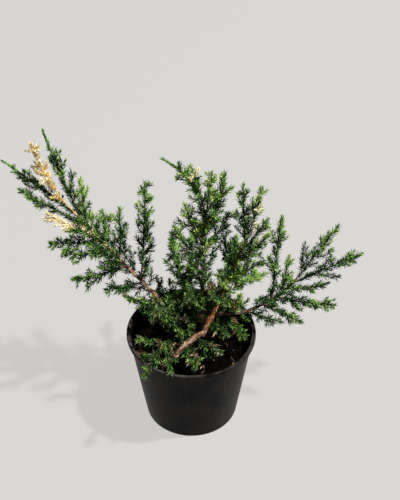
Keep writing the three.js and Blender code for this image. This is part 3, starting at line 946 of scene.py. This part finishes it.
def pot_plastic():
    """Black moulded plastic, dusty, finely scratched, and with a painted reflection inside its left
    wall.
    """
    material, tree, shader = new_finish("pot_plastic", 0.42, 0.05)
    axes = add_node(tree, "TexCoord")
    drawn_out = add_node(tree, "Mapping", {0: axes["Object"], "Scale": (1.0, 1.0, 0.12)})[0]
    scratches = span(tree, cloud(tree, 260.0, 5.0, drawn_out), 0.56, 0.72)
    where = add_node(tree, "SeparateXYZ", {0: axes["Object"]})
    facing = add_node(tree, "SeparateXYZ", {0: axes["Normal"]})
    left = times(tree, span(tree, where["X"], *REFLECTION_X), span(tree, facing["X"], *REFLECTION_FACING))
    inside = times(tree, left, span(tree, where["Z"], *REFLECTION_Z))
    # Pale streaks on the inside of the left wall: a painted reflection of the light
    painted_reflection = times(tree, inside, span(tree, cloud(tree, 170.0, 4.0, drawn_out), 0.5, 0.6))
    dust = placed(tree, DUST, Amount=0.85, Scale=30.0)["Mask"]
    scratches_and_reflection = plus(tree, times(tree, scratches, 0.12), painted_reflection)
    wear_and_reflection = plus(tree, dust, scratches_and_reflection)
    put(tree, shader["Base Color"], blend_colours(tree, wear_and_reflection, NEW_PLASTIC, WORN_AND_REFLECTING_PLASTIC))
    put(tree, shader["Roughness"], plus(tree, 0.36, times(tree, wear_and_reflection, 0.6)))
    add_grit(tree, shader, 1500.0, 0.8, 0.18, 0.0004)
    return material


def peat():
    """Damp potting mix, darker still as painted shade from the rim and the crown."""
    return mottled("peat", 1, 0.02, (0.0008, 0.0007, 0.0006), (0.0032, 0.0025, 0.0019),
                   420, 0.16, 1300, 0.9, 0.9, 0.0012)


def litter(name, dark, light, specular=0.3):
    """A bit of bark or fibre that lies on the soil."""
    return mottled(name, 0.85, specular, dark, light, 330, 0.15, 2200, 0.4, 0.5, 0.0004)


def bark(name, furrow, ridge, red):
    """Stringy bark: dark in its furrows, paler on its ridges, with redder patches."""
    material, tree, shader = new_finish(name, 0.82, 0.3)
    relief = add_node(tree, "Attribute", attribute_name="relief")["Fac"]
    grain = add_node(tree, "Attribute", attribute_name="grain")["Vector"]
    strings = cloud(tree, 2.6, 4.0, grain)
    height = plus(tree, times(tree, strings, 0.5), times(tree, relief, 0.5))
    outer = placed(tree, MOTTLE, Dark=ridge, Light=red, Scale=150.0, Edge=0.12)["Color"]
    ridges = span(tree, height, 0.3, 0.62)
    put(tree, shader["Base Color"], blend_colours(tree, ridges, furrow, outer))
    add_relief(tree, shader, height, 0.7, 0.0006)
    return material


def twig_skin(name, dark, light):
    """The thin skin of a young twig."""
    return mottled(name, 0.7, 0.15, dark, light, 260, 0.2)


def needle_skin(name, dark, light, roughness, specular):
    """One side of the needles of a tone, a little darker and paler from twig to twig."""
    return mottled(name, roughness, specular, dark, light, 140, 0.22)


# Outer side of the needles, darker and lighter, and the paler band of their inner side. The deep
# tone stands for old needles and, darker still, for painted shade inside the crown.
TONES = {
    "deep": ((0.0025, 0.014, 0.005), (0.009, 0.04, 0.01), (0.034, 0.09, 0.03)),
    "dusky": ((0.035, 0.07, 0.022), (0.12, 0.185, 0.065), (0.30, 0.36, 0.19)),
    "straw": ((0.20, 0.23, 0.09), (0.38, 0.40, 0.19), (0.56, 0.50, 0.28)),
    "green": ((0.033, 0.115, 0.016), (0.095, 0.25, 0.03), (0.18, 0.38, 0.07)),
    "fresh": ((0.125, 0.305, 0.034), (0.262, 0.49, 0.064), (0.38, 0.60, 0.14)),
    "lime": ((0.28, 0.45, 0.075), (0.47, 0.62, 0.145), (0.59, 0.70, 0.27)),
    "cream": ((0.84, 0.70, 0.38), (0.96, 0.88, 0.60), (0.97, 0.93, 0.72)),
    "gold": ((0.66, 0.43, 0.10), (0.88, 0.68, 0.25), (0.94, 0.82, 0.45)),
    "brown": ((0.13, 0.065, 0.035), (0.29, 0.16, 0.085), (0.40, 0.26, 0.15)),
}
BAND_SHARE = 0.6
GLOSS, DEEP_GLOSS = 0.25, 0.08


# Foliage


def add_foliage():
    """Needles joined by tone and twigs by finish, each standing for the sprays it belongs to."""
    needles, twigs, holders = grow_foliage()
    for tone, (dark, light, pale) in TONES.items():
        if tone not in needles:
            continue
        band = mix(np.array(dark), np.array(pale), BAND_SHARE).tolist()
        gloss = DEEP_GLOSS if tone == "deep" else GLOSS
        skins = [needle_skin(f"needle_{tone}", dark, light, 0.5, gloss),
                 needle_skin(f"needle_{tone}_band", band, pale, 0.6, gloss)]
        points = np.concatenate(needles[tone])
        parts = ceil(len(points) * len(NEEDLE_FACES) / MAX_TRIANGLES)
        for part, chosen in enumerate(np.array_split(points, parts), start=1):
            faces, finish = needle_faces(len(chosen))
            swayed = sway(chosen.reshape(-1, 3))
            piece = mesh_piece(f"needles_{tone}_{part}", swayed, faces, skins, finish)
            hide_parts(*sorted(holders[tone]))
    # Green twigs are darker than their own colour: painted shade for stems inside the foliage
    skins = {
        "woody": twig_skin("twig_woody", (0.06, 0.026, 0.016), (0.22, 0.095, 0.05)),
        "green": twig_skin("twig_green", (0.02, 0.035, 0.012), (0.055, 0.085, 0.025)),
        "gold": twig_skin("twig_gold", (0.55, 0.35, 0.12), (0.8, 0.6, 0.28)),
    }
    for kind, pile in twigs.items():
        points, faces, _ = pile.joined()
        piece = mesh_piece(f"twigs_{kind}", sway(points), faces, [skins[kind]], smooth=True)
        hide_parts(*[spray.name for spray in sprays])


# Bark


def bark_height(turn, run, radius, strip):
    """The stringy relief of bark: long ridges that part and join."""
    around = Vector((cos(turn) * radius, sin(turn) * radius, run * 0.13)) / strip
    ridge = 1 - abs(noise.noise(around)) * 2.4
    fine = noise.noise(around * 2.7 + Vector((9, 4, 2)))
    return ridge + 0.45 * fine


def bark_tube(limb, sides, step, strip, depth, first=0.0):
    """A limb's tube with its bark's relief: points, faces, and marks for its finish."""
    length = limb.curve.reach
    shares = np.linspace(first, 1, round(length * (1 - first) / step) + 1)
    radii = np.array([float(limb.radius_at(max(t, 0))) for t in shares])
    points, faces = tube(limb.curve, shares, radii, sides)
    _, _, across, over = frames(limb.curve, shares)
    heights = np.zeros(len(points))
    grain = np.zeros((len(points), 3))
    for ring, (share, radius) in enumerate(zip(shares, radii)):
        for side in range(sides):
            turn = side / sides * 2 * pi
            at = ring * sides + side
            outward = across[ring] * cos(turn) + over[ring] * sin(turn)
            height = bark_height(turn, share * length, radius, strip)
            points[at] += outward * (height - 0.7) * depth
            heights[at] = height
            grain[at] = (cos(turn) * radius, sin(turn) * radius, share * length * 0.12)
    return points, faces, {"relief": np.clip(heights, 0, 1), "grain": grain}


def add_bark():
    """Trunk and boughs, each a mesh with its bark's relief."""
    # The tan and red bark are paler than their own colour, painted light for limbs that get little
    # direct light; the other boughs get the same bark dark, as painted shade
    tan = bark("bark_tan", (0.06, 0.026, 0.016), (0.85, 0.60, 0.42), (0.62, 0.30, 0.15))
    red = bark("bark_red", (0.06, 0.018, 0.008), (0.85, 0.30, 0.085), (0.55, 0.15, 0.045))
    painted_shade_bark = bark("bark_dull", (0.012, 0.008, 0.006), (0.12, 0.075, 0.05), (0.085, 0.04, 0.025))
    finishes = {"trunk": tan, "upright": red, "left": tan, "front": tan}
    for name, limb in limbs.items():
        points, faces, marks = bark_tube(limb, *(TRUNK_BARK if name == "trunk" else BOUGH_BARK))
        piece = mesh_piece(f"{name}_bark", sway(points), faces, [finishes.get(name, painted_shade_bark)],
                           smooth=True, marks=marks)
        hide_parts("trunk" if name == "trunk" else f"{name}_bough")


def sliver(spine, side, normal, widths, thickness):
    """A thin strip along a spine, three-sided and closed at both ends."""
    half = side * widths[:, None] / 2
    rings = np.stack([spine + half, spine - half, spine - normal * thickness], axis=1)
    return closed(rings, spine[0], spine[-1])


def add_flakes():
    """Strips of bark that peel off the trunk and the feet of the boughs."""
    rng = np.random.default_rng(FLAKE_SEED)
    pile = Pile()
    steps = len(FLAKE_TAPER)
    for name, count, reach, curl in FLAKES:
        limb = limbs[name]
        for _ in range(count):
            start = rng.uniform(0, reach)
            length = rng.uniform(*(TRUNK_FLAKE if name == "trunk" else BOUGH_FLAKE))
            way = rng.choice((-1, 1))
            shares = start + way * np.linspace(0, length / limb.curve.reach, steps)
            turn = rng.uniform(0, 2 * pi) + np.linspace(0, rng.normal(0, 0.3), steps)
            centre, _, across, over = frames(limb.curve, shares)
            outward = outward_at(across, over, turn)
            side = outward_at(over, -across, turn)
            lift = rng.uniform(0.3, curl) * np.linspace(0, 1, steps) ** 2
            radius = float(limb.radius_at(start))
            spine = centre + outward * (radius + 0.1 + lift)[:, None]
            widths = rng.uniform(*FLAKE_WIDTH) * FLAKE_TAPER
            skin = 1 if name == "upright" and rng.random() < RUSTY_SHARE else rng.integers(0, 3)
            pile.add(*sliver(spine, side, outward, widths, FLAKE_THICKNESS), skin)
    points, faces, finish = pile.joined()
    # The tan flakes are paler than their own colour too: painted light on the shaded trunk
    piece = mesh_piece("bark_flakes", sway(points), faces, [
        litter("flake_tan", (0.7, 0.5, 0.35), (0.95, 0.82, 0.66)),
        litter("flake_rust", (0.55, 0.19, 0.055), (0.82, 0.38, 0.13)),
        litter("flake_grey", (0.10, 0.06, 0.04), (0.5, 0.36, 0.26)),
    ], finish)
    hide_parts("trunk")


# Pot and soil


def lathe(profile, sides):
    """Points and triangles of a closed profile turned round the upright axis."""
    out, high = np.array(profile, float).T[..., None]
    turn = np.arange(sides) / sides * 2 * pi
    rings = np.stack(np.broadcast_arrays(out * np.cos(turn), out * np.sin(turn), high), axis=-1)
    return closed(rings, (0, 0, high[0, 0]), (0, 0, high[-1, 0]))


def wall_at(z):
    """Outer radius of the pot's wall."""
    return BASE_RADIUS + (RIM_RADIUS - LIP_REACH - BASE_RADIUS) * z / POT_HEIGHT


def arc_points(centre, radius, start, stop, count):
    """Profile points on a round corner."""
    turn = np.radians(np.linspace(start, stop, count))
    return [(centre[0] + radius * cos(a), centre[1] + radius * sin(a)) for a in turn]


def pot_profile():
    """From the middle of the underside out, up, over the rolled lip and down inside."""
    floor_rings = (8, DRAIN_CIRCLE - 9, DRAIN_CIRCLE + 9)
    lip_low = POT_HEIGHT - LIP_HEIGHT
    roll = LIP_REACH / 2
    outer = [(wall_at(z), z) for z in np.linspace(FOOT_ROUND, lip_low - 0.6, 26)]
    foot = FLOOR + FOOT_ROUND
    inner = [(wall_at(z) - WALL, z) for z in np.linspace(POT_HEIGHT - roll, foot, 26)]
    return [
        *[(r, 0) for r in floor_rings],
        *arc_points((wall_at(FOOT_ROUND) - FOOT_ROUND, FOOT_ROUND), FOOT_ROUND, -88, -8, 5),
        *outer,
        (wall_at(lip_low) + 0.5, lip_low),
        *arc_points((RIM_RADIUS - 0.8, lip_low + 0.8), 0.8, -90, 0, 4),
        *arc_points((RIM_RADIUS - roll, POT_HEIGHT - roll), roll, 8, 172, 9),
        *inner,
        *arc_points((wall_at(FLOOR) - WALL - FOOT_ROUND, foot), FOOT_ROUND, -8, -88, 4),
        *[(r, FLOOR) for r in floor_rings[::-1]],
    ]


def drill_holes(pot):
    """The drain holes in the pot's floor."""
    pile = Pile()
    for hole in range(DRAIN_HOLES):
        turn = hole / DRAIN_HOLES * 2 * pi
        points, faces = lathe([(DRAIN_RADIUS, -4), (DRAIN_RADIUS, 8)], 32)
        points += (DRAIN_CIRCLE * cos(turn), DRAIN_CIRCLE * sin(turn), 0)
        pile.add(points, faces)
    drill = mesh_piece("drill", *pile.joined()[:2], [])
    cut = pot.modifiers.new("drain_holes", "BOOLEAN")
    cut.operation, cut.solver, cut.object = "DIFFERENCE", "EXACT", drill
    seen = pot.evaluated_get(bpy.context.evaluated_depsgraph_get())
    pot.data = bpy.data.meshes.new_from_object(seen)
    pot.modifiers.clear()
    bpy.data.objects.remove(drill)


def add_pot():
    """The pot shell, very slightly out of round as thin plastic is."""
    points, faces = lathe(pot_profile(), POT_SIDES)
    turn = np.arctan2(points[:, 1], points[:, 0])
    out = sum(size * np.sin(waves * turn + start) for size, waves, start in POT_WAVES)
    points[:, :2] *= 1 - (0.3 + out[:, None]) * (points[:, 2:] / POT_HEIGHT) ** 2 / RIM_RADIUS
    piece = mesh_piece("nursery_pot", points, faces, [pot_plastic()], smooth=True)
    drill_holes(piece)
    piece.data.set_sharp_from_angle(angle=radians(35))
    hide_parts("pot")


def soil_level(x, y):
    """Height of the lumpy soil."""
    place = Vector((x, y, 3))
    lumps = sum(size * noise.noise(place / width) for size, width in SOIL_LUMPS)
    edge = max(hypot(x, y) - 46, 0) / 24
    return SOIL_HEIGHT - 1.1 - 1.6 * edge + lumps


def add_soil():
    """The body of the soil, level but lumpy on top."""
    sides, rings = 240, 84
    top = wall_at(SOIL_HEIGHT) - WALL - 0.5
    low = SOIL_LOW[2]
    profile = [(r, SOIL_HEIGHT) for r in np.linspace(0.5, top, rings)]
    profile += [(wall_at(z) - WALL - 0.6, z) for z in (90, 60, 30, low + 2)] + [(40, low), (8, low)]
    points, faces = lathe(profile[::-1], sides)
    for point in points:
        if point[2] > SOIL_HEIGHT - 1:
            point[2] = soil_level(*point[:2])
    piece = mesh_piece("peat_body", points, faces, [peat()])
    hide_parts("soil")


def lump(rng, size):
    """A small irregular lump: an octahedron with uneven corners."""
    corners = np.repeat(np.eye(3), 2, axis=0) * np.array([1, -1] * 3)[:, None]
    faces = [(0, 2, 4), (2, 1, 4), (1, 3, 4), (3, 0, 4), (2, 0, 5), (1, 2, 5), (3, 1, 5), (0, 3, 5)]
    corners *= size * rng.uniform(0.6, 1.25, (6, 1))
    return corners * rng.uniform(0.7, 1.2, 3), np.array(faces)


def spun(points, rng):
    """Points turned about a random axis."""
    q, _ = np.linalg.qr(rng.normal(size=(3, 3)))
    if np.linalg.det(q) < 0:
        q[0] *= -1
    return points @ q


def inside_wall(points, spare):
    """The points, drawn in where they would pass through the pot's wall."""
    free = wall_at(SOIL_HEIGHT - 4) - WALL - spare
    drawn_in = np.minimum(1, free / np.hypot(points[:, 0], points[:, 1]))[:, None]
    return points * np.where((True, True, False), drawn_in, 1)


def add_litter():
    """Lumps of peat, bark chips, fibres and fallen needles that lie on the soil."""
    rng = np.random.default_rng(LITTER_SEED)
    crumbs, bits = Pile(), Pile()

    def spot(left_share):
        """A place on the soil, some of them on the side where most of the litter lies."""
        if rng.random() < left_share:
            turn, r = radians(rng.uniform(*LITTER_SIDE)), rng.uniform(*LITTER_RING)
        else:
            turn, r = rng.uniform(0, 2 * pi), LITTER_REACH * sqrt(rng.random())
        x, y = r * cos(turn), r * sin(turn)
        return np.array((x, y, soil_level(x, y)))

    for _ in range(LUMPS):
        points, faces = lump(rng, rng.uniform(*LUMP_SIZE))
        crumbs.add(inside_wall(spun(points, rng) + spot(LUMPS_ASIDE), 0.7), faces)
    for _ in range(BITS):
        length, heading = rng.uniform(*BIT_LENGTH), rng.uniform(0, 2 * pi)
        along = np.array((cos(heading), sin(heading), rng.normal(0, 0.15)))
        side = np.array((-sin(heading), cos(heading), 0))
        share = np.linspace(-0.5, 0.5, len(BIT_TAPER))[:, None]
        bend = side * rng.normal(0, 3) * (0.25 - share ** 2)
        spine = spot(BITS_ASIDE) + (0, 0, 0.7) + along * share * length + bend
        wide = rng.uniform(*(FIBRE_WIDTH if rng.random() < FIBRES else CHIP_WIDTH))
        spine = inside_wall(spine, 0.8 + wide / 2)
        side, up = np.broadcast_to(side, spine.shape), np.broadcast_to((0, 0, 1), spine.shape)
        bits.add(*sliver(spine, side, up, wide * BIT_TAPER, 0.3 + wide * 0.25), rng.integers(0, 3))
    # Crumbs of peat, as dark as the peat with its painted shade
    piece = mesh_piece("peat_crumbs", *crumbs.joined()[:2],
                       [litter("crumb", (0.001, 0.0008, 0.0007), (0.005, 0.0038, 0.0028), 0.03)])
    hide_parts("soil")
    points, faces, finish = bits.joined()
    # The bits are paler than their own colour: painted light where the crown shades the soil
    piece = mesh_piece("bark_bits", points, faces, [
        litter("bit_tan", (0.36, 0.21, 0.11), (0.72, 0.5, 0.3)),
        litter("bit_brown", (0.14, 0.065, 0.03), (0.34, 0.17, 0.08)),
        litter("bit_dark", (0.02, 0.012, 0.008), (0.07, 0.04, 0.025)),
    ], finish)
    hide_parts("soil")


# Stage


def add_floor():
    """A plain pale floor that fills the view."""
    points = np.array([(-1, -1, 0), (1, -1, 0), (1, 1, 0), (-1, 1, 0)]) * FLOOR_SIZE
    mesh = bpy.data.meshes.new("floor")
    mesh.from_pydata((points * MM).tolist(), [], [(0, 1, 2, 3)])
    material, _, shader = new_finish("floor", 0.9, 0.2)
    shader["Base Color"].default_value = FLOOR_COLOUR
    shader["Emission Color"].default_value = GLOW_COLOUR
    shader["Emission Strength"].default_value = GLOW_STRENGTH
    mesh.materials.append(material)
    floor = new_object("floor", mesh)


def add_light():
    """One soft light that looks at the crown, and the sky."""
    data = bpy.data.lights.new("key", "AREA")
    data.shape, data.size, data.energy, data.color = "DISK", KEY_SIZE, KEY_POWER, KEY_COLOUR
    lamp = new_object("key", data)
    lamp.location = KEY_PLACE
    lamp.rotation_euler = (Vector(AIM) - Vector(KEY_PLACE)).to_track_quat("-Z", "Y").to_euler()
    world = bpy.data.worlds.new("studio")
    world.use_nodes = True
    sky = world.node_tree.nodes["Background"].inputs
    sky["Color"].default_value = SKY_COLOUR
    sky["Strength"].default_value = SKY_STRENGTH
    bpy.context.scene.world = world
    bpy.context.scene.view_settings.view_transform = "Standard"


def add_camera():
    data = bpy.data.cameras.new("camera")
    data.lens, data.sensor_width = CAMERA_LENS, SENSOR_WIDTH
    camera = new_object("camera", data)
    camera.location = CAMERA_PLACE
    camera.rotation_euler = (radians(CAMERA_TILT), 0, 0)
    bpy.context.scene.camera = camera


add_camera()
add_floor()
add_light()
add_pot()
add_soil()
add_litter()
add_bark()
add_flakes()
add_foliage()
